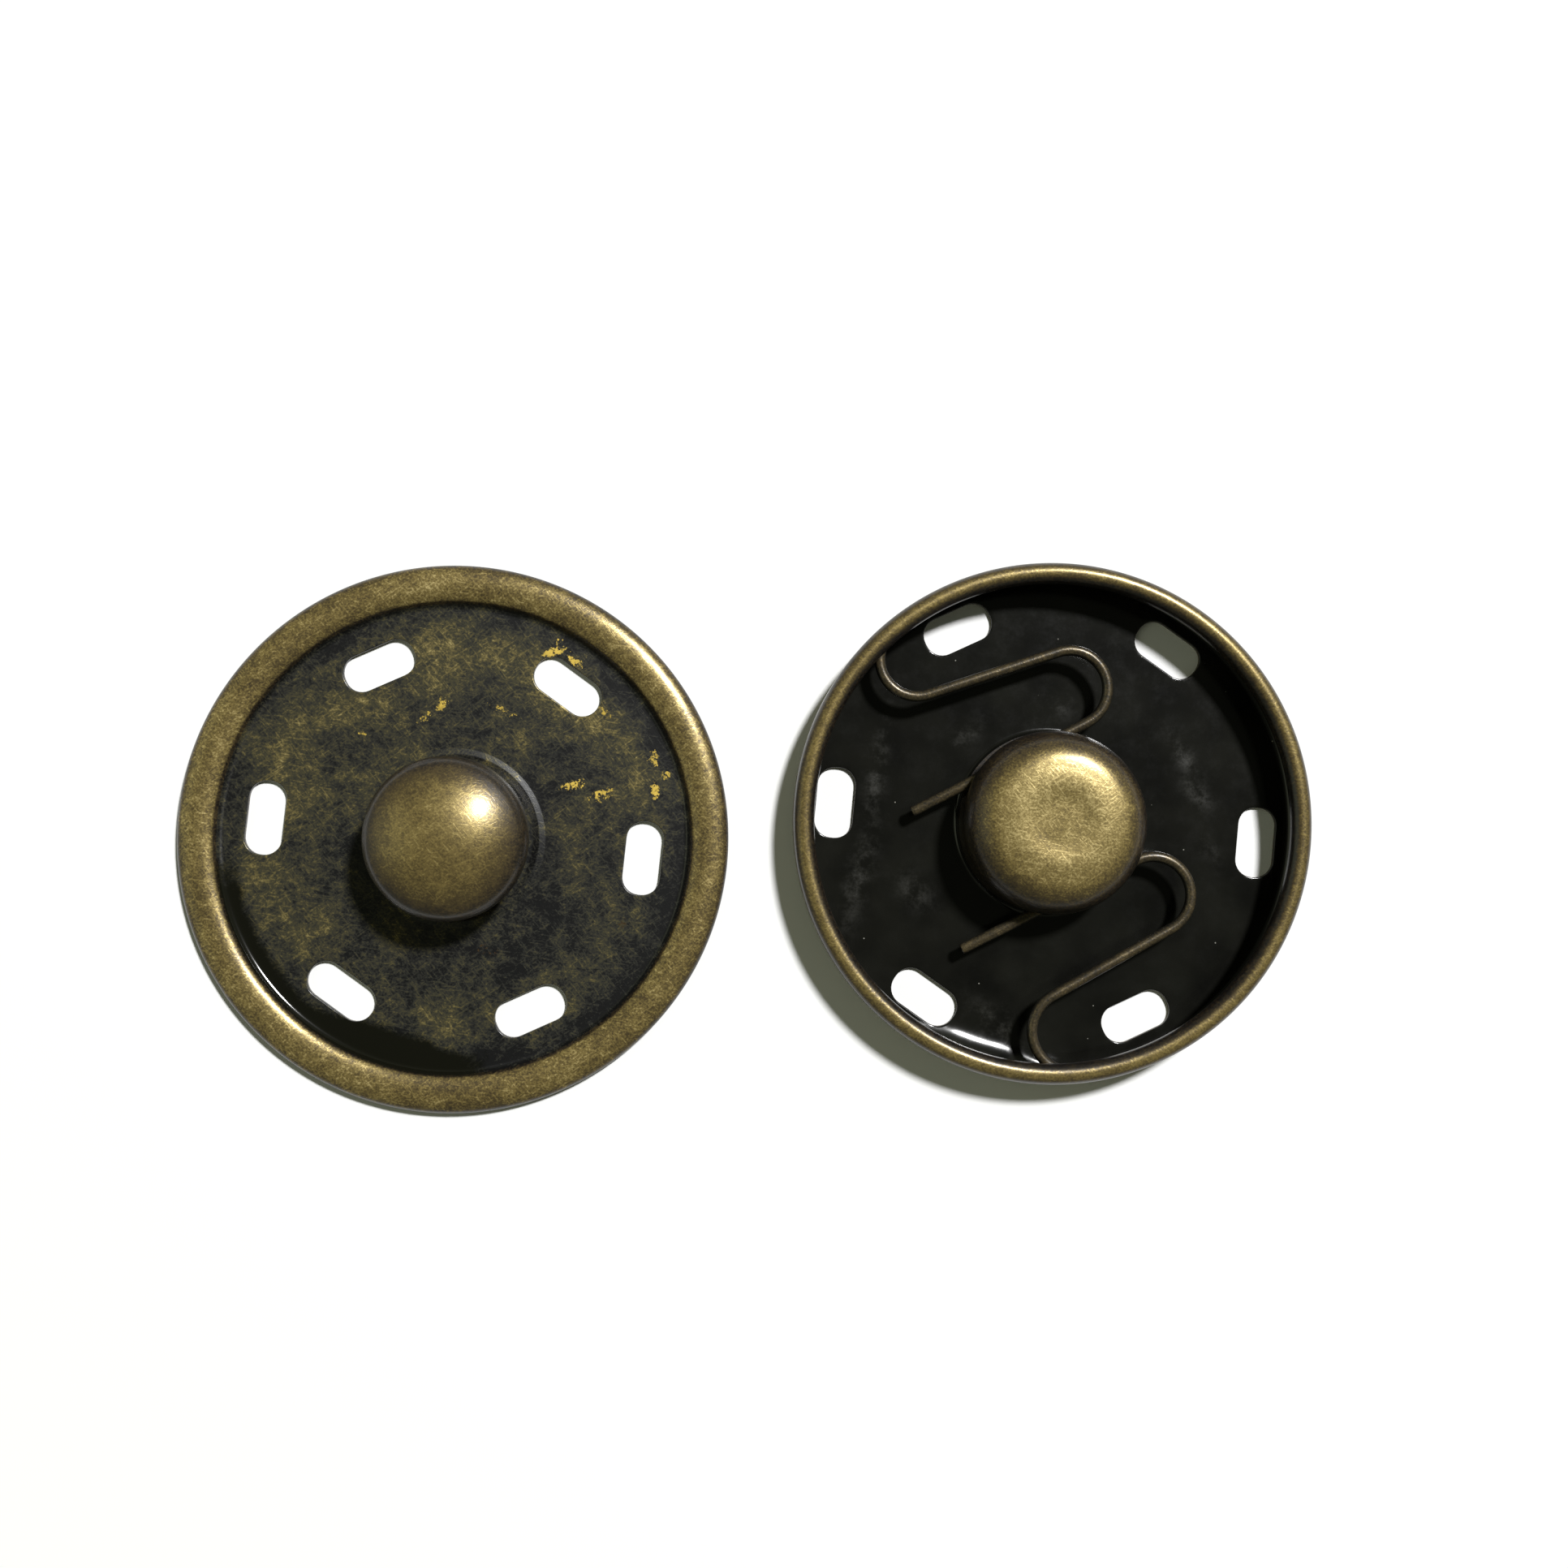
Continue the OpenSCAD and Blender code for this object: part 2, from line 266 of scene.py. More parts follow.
    def scratches(self, tree: bpy.types.NodeTree, place: bpy.types.NodeSocket) -> bpy.types.NodeSocket:
        """Draws short scratches in three crossing directions.

        Args:
            tree: the material's node tree.
            place: the point on the object, in millimetres.

        Returns:
            A value that is near 1 on a scratch and 0 beside it.
        """
        most = None
        for turn in (-9.0, 34.0, -52.0):
            turned = add(tree, "Mapping", {"vector_type": "TEXTURE"}, {
                "Vector": place,
                "Rotation": (0.0, 0.0, radians(turn)),
                "Scale": (self.scratch_mm, self.scratch_mm / 8, self.scratch_mm / 4),
            }).outputs[0]
            streaks = add(tree, "TexNoise", inputs={"Vector": turned, "Scale": 1.0, "Detail": 1.5}).outputs["Fac"]
            streaks = add(tree, "MapRange", SOFT, {"Value": streaks, 1: 0.56, 2: 0.68}).outputs[0]
            most = streaks if most is None else add(tree, "Math", {"operation": "MAXIMUM"}, {0: most, 1: streaks}).outputs[0]
        return most

    def flakes(
        self, tree: bpy.types.NodeTree, amount: bpy.types.NodeSocket, place: bpy.types.NodeSocket, size: float
    ) -> bpy.types.NodeSocket:
        """Breaks a smooth patch up into ragged flakes.

        Args:
            tree: the material's node tree.
            amount: how much of the surface has flaked, from 0 to 1.
            place: the point on the object, in millimetres.
            size: width of a flake, in millimetres.

        Returns:
            A mask with crisp ragged edges.
        """
        settings = {"Vector": place, "Scale": 1 / (2 * size), "Detail": 4.0, "Roughness": 0.75}
        ragged = add(tree, "TexNoise", inputs=settings).outputs["Fac"]
        reach = weighted_sum(tree, [(amount, 0.5), (ragged, 1.0)])
        return add(tree, "MapRange", SOFT, {"Value": reach, 1: 0.8, 2: 0.88}).outputs[0]


@dataclass(frozen=True)
class BlackLacquer:
    """Blackened brass under a pool of clear lacquer, brushed on and left to level.

    To the eye: near-black brown and smooth, with a skin that mirrors the lamp where it climbs a
    wall, and with pale smears and dust where fingers and threads touched it.
    """

    name: str
    deep: str = "#0c0c0a"
    thin: str = "#1a1a16"
    haze: str = "#55544e"
    dust: str = "#8e8c84"
    rough: float = 0.16
    smear_mm: float = 1.1
    dust_mm: float = 1.3

    def material(self) -> bpy.types.Material:
        """Builds the finish as a node material, which reads the mesh's smear field."""
        material, shader = new_material(self.name)
        tree = material.node_tree
        place = add(tree, "TexCoord").outputs["Object"]
        place = add(tree, "VectorMath", {"operation": "SCALE"}, {0: place, "Scale": 1 / MM}).outputs[0]
        smear = add(tree, "Attribute", {"attribute_name": Field.SMEAR.value}).outputs["Fac"]
        settings = {"Vector": place, "Scale": 1 / 3.0, "Detail": 3.0}
        depth = add(tree, "TexNoise", inputs=settings).outputs["Fac"]
        body = add(tree, "ValToRGB", inputs={"Fac": depth}, stops=((0.3, self.deep), (0.75, self.thin))).outputs["Color"]
        settings = {"Vector": place, "Scale": 1 / self.smear_mm, "Detail": 7.0, "Roughness": 0.72}
        wisps = add(tree, "TexNoise", inputs=settings).outputs["Fac"]
        wisps = add(tree, "MapRange", SOFT, {"Value": wisps, 1: 0.4, 2: 0.72}).outputs[0]
        haze = add(tree, "Math", {"operation": "MULTIPLY"}, {0: smear, 1: wisps}).outputs[0]
        colour = add(tree, "Mix", {"data_type": "RGBA"}, {"Factor": haze, 6: body, 7: linear(self.haze)}).outputs[2]
        cells = add(tree, "TexVoronoi", inputs={"Vector": place, "Scale": 1 / self.dust_mm}).outputs["Distance"]
        specks = add(tree, "MapRange", inputs={"Value": cells, 1: 0.035, 2: 0.02}).outputs[0]
        colour = add(tree, "Mix", {"data_type": "RGBA"}, {"Factor": specks, 6: colour, 7: linear(self.dust)})
        rough = weighted_sum(tree, [(haze, 0.5), (wisps, 0.05)])
        rough = add(tree, "Math", {"operation": "ADD"}, {0: rough, 1: self.rough}).outputs[0]
        tree.links.new(colour.outputs[2], shader.inputs["Base Color"])
        tree.links.new(rough, shader.inputs["Roughness"])
        return material


@dataclass(frozen=True)
class TablePaper:
    """Plain white card, matt, under the two halves."""

    name: str = "white_card"
    colour: str = "#fdfdfd"

    def material(self) -> bpy.types.Material:
        """Builds the card's material, with a faint tooth in its gloss."""
        material, shader = new_material(self.name)
        tree = material.node_tree
        place = add(tree, "TexCoord").outputs["Object"]
        tooth = add(tree, "TexNoise", inputs={"Vector": place, "Scale": 4000.0, "Detail": 2.0}).outputs["Fac"]
        spans = {"Value": tooth, 3: 0.85, 4: 0.95}
        tree.links.new(add(tree, "MapRange", inputs=spans).outputs[0], shader.inputs["Roughness"])
        shader.inputs["Base Color"].default_value = linear(self.colour)
        shader.inputs["Specular IOR Level"].default_value = 0.2
        return material


# Outlines and meshes


def arc(
    centre: tuple[float, float], radius: float, start: float, end: float, steps: int, height: float | None = None
) -> list[tuple]:
    """Points on an arc, each with the heading of the outline there.

    Args:
        centre: the arc's centre.
        radius: its radius, or its level half-axis where it is an oval.
        start: its first angle.
        end: its last angle.
        steps: how many straight pieces it has.
        height: its upright half-axis, where it is an oval.

    Returns:
        Points as (x, y, heading).
    """
    tall = radius if height is None else height
    side = 1 if end > start else -1
    points = []
    for i in range(steps + 1):
        a = start + (end - start) * i / steps
        c, s = cos(radians(a)), sin(radians(a))
        heading = degrees(atan2(side * tall * c, -side * radius * s))
        # The heading runs on with the angle, without a jump of a whole turn
        off = (heading - a - side * 90 + 180) % 360 - 180
        points.append((centre[0] + radius * c, centre[1] + tall * s, a + side * 90 + off))
    return points


def bends(knots: list[tuple], steps: int) -> list[tuple]:
    """Rounds each inner knot of a broken line.

    Args:
        knots: points as (x, y, radius); the first and last only give direction.
        steps: straight pieces in each rounded bend.

    Returns:
        Points as (x, y, heading).
    """
    points = []
    for before, here, after in zip(knots, knots[1:], knots[2:]):
        u = np.subtract(here[:2], before[:2])
        w = np.subtract(after[:2], here[:2])
        u, w = u / hypot(*u), w / hypot(*w)
        side = 1 if u[0] * w[1] - u[1] * w[0] > 0 else -1
        turn = degrees(acos(float(np.clip(u @ w, -1, 1))))
        centre = np.array(here[:2]) - u * here[2] * tan(radians(turn / 2)) + side * here[2] * np.array([-u[1], u[0]])
        start = degrees(atan2(u[1], u[0])) - side * 90
        points += arc(tuple(centre), here[2], start, start + side * turn, steps)
    return points


def filled(outline: np.ndarray, longest: float, like: np.ndarray | None = None) -> np.ndarray:
    """Adds points to the long straight pieces of an outline.

    Args:
        outline: rows of (x, y, heading).
        longest: the longest piece that stays as it is.
        like: an outline with as many rows, whose pieces decide how many points each piece gets.

    Returns:
        The outline with the added rows.
    """
    guide = outline if like is None else like
    rows = [outline[:1]]
    for i in range(1, len(outline)):
        parts = max(1, ceil(hypot(*(guide[i, :2] - guide[i - 1, :2])) / longest))
        share = (np.arange(1, parts + 1) / parts)[:, None]
        rows.append(outline[i - 1] * (1 - share) + outline[i] * share)
    return np.vstack(rows)


def band(seen: np.ndarray, hidden: np.ndarray, thickness: float) -> np.ndarray:
    """Closes a sheet's section: along its seen side and back along its hidden side.

    Args:
        seen: the seen side, as rows of (x, y, heading).
        hidden: the line that the hidden side lies one thickness under, in the same form.
        thickness: the sheet's thickness.

    Returns:
        The section's points as (x, y).
    """
    heading = np.radians(hidden[:, 2])
    under = hidden[:, :2] + thickness * np.stack([np.sin(heading), -np.cos(heading)], axis=1)
    return np.vstack([seen[:, :2], under[::-1]])


@dataclass
class Turned:
    """A thin stamping that is round about an upright axis: a section turned round in fine steps."""

    centre: tuple[float, float]
    sides: int = 360

    def mesh(self, name: str, plain: np.ndarray, raised: np.ndarray, lift: np.ndarray) -> bpy.types.Mesh:
        """Turns a section about the axis.

        Args:
            name: the mesh's name.
            plain: the section's points as (radius, height), from the axis on top to the axis below.
            raised: the same points where the lacquer stands highest.
            lift: how much of the raised section each side takes, from 0 to 1.

        Returns:
            The mesh, in metres.
        """
        angles = np.arange(self.sides) * 2 * pi / self.sides
        rings = plain[1:-1][:, None, :] * (1 - lift)[None, :, None] + raised[1:-1][:, None, :] * lift[None, :, None]
        x = self.centre[0] + rings[..., 0] * np.cos(angles)
        y = self.centre[1] + rings[..., 0] * np.sin(angles)
        points = np.stack([x, y, rings[..., 1]], axis=-1).reshape(-1, 3)
        poles = [(*self.centre, plain[0, 1]), (*self.centre, plain[-1, 1])]
        count = len(rings)
        here = np.arange(self.sides)
        after = (here + 1) % self.sides
        faces = []
        for ring in range(count - 1):
            a, b = ring * self.sides, (ring + 1) * self.sides
            faces += np.stack([a + here, b + here, b + after, a + after], axis=1).tolist()
        top, below = count * self.sides, count * self.sides + 1
        faces += [(top, int(h), int(n)) for h, n in zip(here, after)]
        last = (count - 1) * self.sides
        faces += [(last + int(n), last + int(h), below) for h, n in zip(here, after)]
        mesh = bpy.data.meshes.new(name)
        mesh.from_pydata((np.vstack([points, poles]) * MM).tolist(), [], faces)
        mesh.update()
        return mesh


@dataclass(frozen=True)
class Slots:
    """Sewing slots, punched from the seen side, so that their upper edges are drawn in a little."""

    length: float
    width: float
    ring_r: float
    turn: float
    sheet_t: float
    corner_r: float = 0.96
    count: int = 6
    edge_r: float = 0.07
    steps: int = 8

    def outline(self, grow: float) -> list[tuple[float, float]]:
        """The slot's outline about its own centre, grown outwards all round by a distance."""
        radius = self.corner_r + grow
        half_w, half_l = self.width / 2 + grow, self.length / 2 + grow
        points = []
        for start, sx, sy in ((0, 1, 1), (90, -1, 1), (180, -1, -1), (270, 1, -1)):
            centre = (sx * (half_w - radius), sy * (half_l - radius))
            points += [p[:2] for p in arc(centre, radius, start, start + 90, self.steps)]
        return points

    def cutter(self, centre: tuple[float, float]) -> bpy.types.Object:
        """Builds all the slots' punches as one object.

        Args:
            centre: the axis of the stamping.

        Returns:
            An object that a boolean takes away from the stamping.
        """
        top = self.sheet_t
        levels = [(-1.0, 0.0), (top - self.edge_r, 0.0)]
        for i in range(1, 5):
            a = radians(90 * i / 4)
            levels.append((top - self.edge_r * (1 - sin(a)), self.edge_r * (1 - cos(a))))
        levels.append((top + 0.2, self.edge_r + 0.05))
        build = bmesh.new()
        for i in range(self.count):
            angle = radians(self.turn + 360 * i / self.count)
            rings = []
            for z, grow in levels:
                ring = []
                for u, v in self.outline(grow):
                    x = centre[0] + (self.ring_r + u) * cos(angle) - v * sin(angle)
                    y = centre[1] + (self.ring_r + u) * sin(angle) + v * cos(angle)
                    ring.append(build.verts.new((x * MM, y * MM, z * MM)))
                rings.append(ring)
            for low, high in zip(rings, rings[1:]):
                for j in range(len(low)):
                    k = (j + 1) % len(low)
                    build.faces.new((low[j], low[k], high[k], high[j]))
            build.faces.new(rings[0][::-1])
            build.faces.new(rings[-1])
        mesh = bpy.data.meshes.new("slot_punches")
        build.to_mesh(mesh)
        build.free()
        punches = bpy.data.objects.new("slot_punches", mesh)
        bpy.context.scene.collection.objects.link(punches)
        return punches


def cut(piece: bpy.types.Object, cutter: bpy.types.Object) -> None:
    """Takes one object away from another for good, and removes the cutter.

    Args:
        piece: the object that is cut.
        cutter: the object that is taken away.
    """
    modifier = piece.modifiers.new("cut", "BOOLEAN")
    modifier.operation = "DIFFERENCE"
    modifier.solver = "EXACT"
    modifier.object = cutter
    graph = bpy.context.evaluated_depsgraph_get()
    result = bpy.data.meshes.new_from_object(piece.evaluated_get(graph))
    piece.modifiers.clear()
    old = piece.data
    piece.data = result
    bpy.data.meshes.remove(old)
    bpy.data.objects.remove(cutter)


def points_of(mesh: bpy.types.Mesh) -> np.ndarray:
    """The mesh's points in millimetres, one row each."""
    flat = np.empty(len(mesh.vertices) * 3)
    mesh.vertices.foreach_get("co", flat)
    return flat.reshape(-1, 3) / MM


def normals_of(mesh: bpy.types.Mesh) -> np.ndarray:
    """The directions that the mesh's points face, one row each."""
    flat = np.empty(len(mesh.vertices) * 3)
    mesh.vertex_normals.foreach_get("vector", flat)
    return flat.reshape(-1, 3)


def keep_field(mesh: bpy.types.Mesh, kind: Field, values: np.ndarray) -> None:
    """Keeps one number per point on the mesh, for the finishes to read."""
    mesh.attributes.new(kind.value, "FLOAT", "POINT").data.foreach_set("value", values.astype(np.float32))


def smooth_step(value: np.ndarray, low: float, high: float) -> np.ndarray:
    """A soft step from 0 at low to 1 at high."""
    share = np.clip((value - low) / (high - low), 0, 1)
    return share * share * (3 - 2 * share)


def angle_bump(angle: np.ndarray, middle: float, half: float, soft: float) -> np.ndarray:
    """A plateau of 1 round an azimuth, with soft ends.

    Args:
        angle: azimuths, in degrees.
        middle: the plateau's middle.
        half: half of its length.
        soft: length of each soft end.

    Returns:
        Values from 0 to 1.
    """
    off = np.abs((angle - middle + 180) % 360 - 180)
    return 1 - smooth_step(off, half, half + soft)


@dataclass(frozen=True)
class Patch:
    """A soft oval patch of wear or dirt, placed from the middle of its half."""

    x: float
    y: float
    length: float
    width: float
    turn: float
    strength: float = 1.0

    def amount(self, x: np.ndarray, y: np.ndarray) -> np.ndarray:
        """How strong the patch is at each point, from 0 to its strength."""
        c, s = cos(radians(self.turn)), sin(radians(self.turn))
        along = ((x - self.x) * c + (y - self.y) * s) / (self.length / 2)
        across = (-(x - self.x) * s + (y - self.y) * c) / (self.width / 2)
        return self.strength * np.exp(-(along**2 + across**2))


def patches(spots: list[Patch], x: np.ndarray, y: np.ndarray) -> np.ndarray:
    """The strongest of several patches at each point."""
    return np.max([spot.amount(x, y) for spot in spots], axis=0)


def sharpen(mesh: bpy.types.Mesh, angle: float) -> None:
    """Shades the mesh smooth, apart from edges that turn by more than an angle."""
    build = bmesh.new()
    build.from_mesh(mesh)
    for face in build.faces:
        face.smooth = True
    for edge in build.edges:
        edge.smooth = len(edge.link_faces) != 2 or edge.calc_face_angle(0.0) < radians(angle)
    build.to_mesh(mesh)
    build.free()


def place_piece(piece: bpy.types.Object, node: str) -> None:
    """Lets a piece stand for its CAD node, on the frame's only body.

    Args:
        piece: the finished piece.
        node: the CAD node that it replaces.
    """
    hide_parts(node)
    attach(piece, Body.ROOT.value)
    log.info("%s: %d points, %d faces", piece.name, len(piece.data.vertices), len(piece.data.polygons))


def centre_of(node: str) -> tuple[float, float]:
    """The middle of a CAD node on the table, in millimetres."""
    low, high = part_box(node)
    return (low.x + high.x) / 2 / MM, (low.y + high.y) / 2 / MM


# The three pieces


@dataclass
class StudHalf:
    """The stud half: a disc with a raised rim, six slots and a hollow ball drawn up in the middle."""

    outer_r: float = 14.997
    sheet_t: float = 0.3
    floor_r: float = 12.7
    crown_r: float = 13.94
    crown_h: float = 0.95
    crown_in: float = 1.04
    crown_in_h: float = 0.5
    crown_out_h: float = 0.56
    corner_r: float = 0.3
    ball_r: float = 4.4
    neck_r: float = 3.6
    ball_wide_z: float = 3.1
    dome_r: float = 7.2
    ball_shoulder_r: float = 1.1
    ball_under_r: float = 0.9
    neck_hollow_r: float = 0.5
    neck_foot_r: float = 0.45
    foot_ring_h: float = 0.08
    foot_ring_r: float = 4.6
    foot_slope: float = 0.17
    pool_corner_r: float = 0.66
    pool_middle: float = 215.0
    pool_half: float = 16.0
    centre: tuple[float, float] = field(default_factory=lambda: centre_of("stud_plate"))
    slots: Slots = Slots(length=4.05, width=2.05, ring_r=10.35, turn=-6.2, sheet_t=0.3)
    rubbed: AntiqueBrass = AntiqueBrass("rubbed_antique_brass")
    oxidised: AntiqueBrass = AntiqueBrass(
        "oxidised_antique_brass",
        stops=((0.0, "#0b0b0c"), (0.18, "#2b2b27"), (0.4, "#514d39"), (0.66, "#8d7f50"), (1.0, "#ead594")),
        scratch_mm=0.8,
        scratch_weight=0.16,
        grain_weight=0.75,
        mottle_weight=0.85,
        cloud_weight=0.8,
    )
    # Where the black has flaked off down to the brass
    flaked: tuple[Patch, ...] = (
        Patch(5.3, 10.25, 2.0, 0.7, 15, 0.95),
        Patch(6.5, 9.75, 1.6, 0.6, -35, 0.85),
        Patch(5.6, 10.9, 0.7, 0.5, 0, 0.85),
        Patch(-0.8, 7.3, 1.3, 0.8, 60, 0.75),
        Patch(-1.6, 6.7, 1.6, 0.6, 50, 0.75),
        Patch(10.9, 4.4, 1.2, 0.8, -60, 0.8),
        Patch(11.6, 3.5, 0.8, 0.7, 0, 0.8),
        Patch(10.95, 2.6, 0.6, 1.2, 10, 1.0),
        Patch(6.4, 2.9, 2.0, 0.8, 10, 0.75),
        Patch(8.0, 2.4, 1.8, 0.9, 20, 0.8),
        Patch(8.2, 6.9, 1.8, 0.9, -40, 0.6),
        Patch(2.6, 7.0, 3.0, 0.8, -20, 0.6),
        Patch(-5.1, 5.7, 0.7, 0.6, 0, 0.75),
    )
    rusted: tuple[Patch, ...] = (
        Patch(1.6, -6.3, 2.0, 1.4, 40, 0.72),
        Patch(9.2, -4.7, 1.2, 0.9, 20, 0.7),
    )

    def seen_side(self, corner_r: float) -> np.ndarray:
        """The upper side's outline, from the top of the ball to the rolled edge.

        Args:
            corner_r: radius of the corner between floor and rim wall.

        Returns:
            Rows of (radius, height, heading).
        """
        shoulder_x = self.ball_r - self.ball_shoulder_r
        dome_z = self.ball_wide_z - sqrt((self.dome_r - self.ball_shoulder_r) ** 2 - shoulder_x**2)
        meet = degrees(atan2(self.ball_wide_z - dome_z, shoulder_x))
        turn_r = self.ball_under_r + self.neck_hollow_r
        under = degrees(acos(1 - (self.ball_r - self.neck_r) / turn_r))
        hollow_z = self.ball_wide_z - turn_r * sin(radians(under))
        edge_h = self.crown_h - self.crown_out_h
        wall_end = 164.0
        wall_a = radians(wall_end)
        wall_top = (
            self.crown_r + self.crown_in * cos(wall_a),
            self.crown_h - self.crown_in_h * (1 - sin(wall_a)),
        )
        crest_z = self.sheet_t + self.foot_ring_h
        outline = (
            arc((0, dome_z), self.dome_r, 90, meet, 34)
            + arc((shoulder_x, self.ball_wide_z), self.ball_shoulder_r, meet, 0, 10)
            + arc((self.ball_r - self.ball_under_r, self.ball_wide_z), self.ball_under_r, 0, -under, 7)
            + arc((self.neck_r + self.neck_hollow_r, hollow_z), self.neck_hollow_r, 180 - under, 180, 4)
            + bends([
                (self.neck_r, hollow_z),
                (self.neck_r, self.sheet_t, self.neck_foot_r),
                (self.foot_ring_r - 2 * self.foot_slope, self.sheet_t, self.foot_slope / 2),
                (self.foot_ring_r, crest_z, self.foot_slope),
                (self.foot_ring_r + 2 * self.foot_slope, self.sheet_t, self.foot_slope),
                (self.floor_r, self.sheet_t, corner_r),
                wall_top,
            ], 7)
            + arc((self.crown_r, self.crown_h - self.crown_in_h), self.crown_in, wall_end, 90, 14, self.crown_in_h)
            + arc((self.crown_r, edge_h), self.outer_r - self.crown_r, 90, 0, 16, self.crown_out_h)[1:]
            + arc((self.outer_r - edge_h, edge_h), edge_h, 0, -90, 10)[1:]
        )
        return np.array(outline)

    def build(self) -> bpy.types.Object:
        """Builds and dresses the stud half.

        Returns:
            The finished piece.
        """
        plain = self.seen_side(self.corner_r)
        pooled = self.seen_side(self.pool_corner_r)
        under = filled(plain, 0.5)
        sections = [band(filled(side, 0.16, plain), under, self.sheet_t) for side in (plain, pooled)]
        turned = Turned(self.centre)
        azimuth = np.arange(turned.sides) * 360 / turned.sides
        lift = angle_bump(azimuth, self.pool_middle, self.pool_half, 22)
        mesh = turned.mesh("stud_plate_fine", *sections, lift)
        piece = bpy.data.objects.new("stud_half", mesh)
        bpy.context.scene.collection.objects.link(piece)
        cut(piece, self.slots.cutter(self.centre))
        self.dress(piece.data)
        sharpen(piece.data, 35)
        place_piece(piece, "stud_plate")
        return piece

    def dress(self, mesh: bpy.types.Mesh) -> None:
        """Sets where the stud half is bright, painted darker as shade, flaked, rusted or lacquered."""
        points, facing = points_of(mesh), normals_of(mesh)[:, 2]
        x, y, z = points[:, 0] - self.centre[0], points[:, 1] - self.centre[1], points[:, 2]
        r, azimuth = np.hypot(x, y), np.degrees(np.arctan2(y, x))
        # The stones reach the ball and the rim, and hardly the floor between them
        floor_tone = np.interp(r, [4.6, 6.5, 8.5, 10.5, 11.6, 12.2, 12.5], [0.13, 0.16, 0.2, 0.33, 0.18, 0.05, 0.0])
        # Painted light: the floor's side towards azimuth 125 degrees is made lighter, and the opposite side darker.
        floor_tone += 0.08 * np.cos(np.radians(azimuth - 125))
        # Painted shade: on the ball and the rim the tone falls as the surface turns from up, so flanks and edges are
        # darker than the rubbed crests.
        ball_tone = np.interp(facing, [0.0, 0.45, 0.8, 0.85, 0.885, 0.93, 0.96, 1.0], [0.02, 0.04, 0.1, 0.2, 0.38, 0.5, 0.54, 0.57])
        rim_tone = np.interp(facing, [0.0, 0.4, 0.7, 0.92, 1.0], [0.02, 0.05, 0.22, 0.48, 0.54])
        # The rim's inner wall kept its black up to the shoulder, and the shoulder's tone also falls as it turns from
        # up, which is painted shade.
        inner_tone = np.interp(facing, [0.45, 0.62, 0.78, 1.0], [0.0, 0.1, 0.46, 0.53])
        on_ball = (r < self.ball_r + 0.1) & (z > 0.7)
        on_floor = ~on_ball & (z < self.sheet_t + 0.3) & (r < self.floor_r + 0.2)
        polish_and_shade = np.where(r < self.crown_r, inner_tone, rim_tone)
        # Painted shade: the floor is also made darker where it slopes away from up, at its fillets and round the foot
        # ring.
        polish_and_shade = np.where(on_floor, floor_tone * smooth_step(facing, 0.2, 0.9), polish_and_shade)
        polish_and_shade = np.where(on_ball, ball_tone, polish_and_shade)
        polish_and_shade = np.where((facing > -0.2) | (r > self.outer_r - 1), polish_and_shade, 0.3)
        keep_field(mesh, Field.POLISH_AND_SHADE, polish_and_shade)
        keep_field(mesh, Field.BITE, np.where(on_ball, 0.6, np.where(on_floor, 1.1, 0.9)))
        keep_field(mesh, Field.GOLD, patches(list(self.flaked), x, y) * on_floor)
        keep_field(mesh, Field.RUST, patches(list(self.rusted), x, y) * on_floor)
        # The lacquer pool fills the corner and thins out inwards
        inner_edge = 11.9 - 0.9 * angle_bump(azimuth, 252, 8, 14)
        pool = np.minimum((r - inner_edge) * 0.5, (self.floor_r + 0.24 - r) * 2)
        off = (azimuth - 232 + 180) % 360 - 180
        pool = np.minimum(pool, (44 - np.abs(off)) * 0.03)
        on_foot = (z < self.sheet_t + 0.75) & (facing > 0) & (r > self.ball_r)
        keep_field(mesh, Field.POOL, np.where(on_foot, np.clip(pool, -1, 1), -1.0))
        mesh.materials.clear()
        mesh.materials.append(self.rubbed.material())
        mesh.materials.append(self.oxidised.material())
        for face in mesh.polygons:
            middle = face.center / MM
            radius = hypot(middle.x - self.centre[0], middle.y - self.centre[1])
            tray = self.neck_r < radius < self.floor_r + 0.15 and middle.z < self.sheet_t + 0.2
            face.material_index = int(tray and face.normal.z > 0)


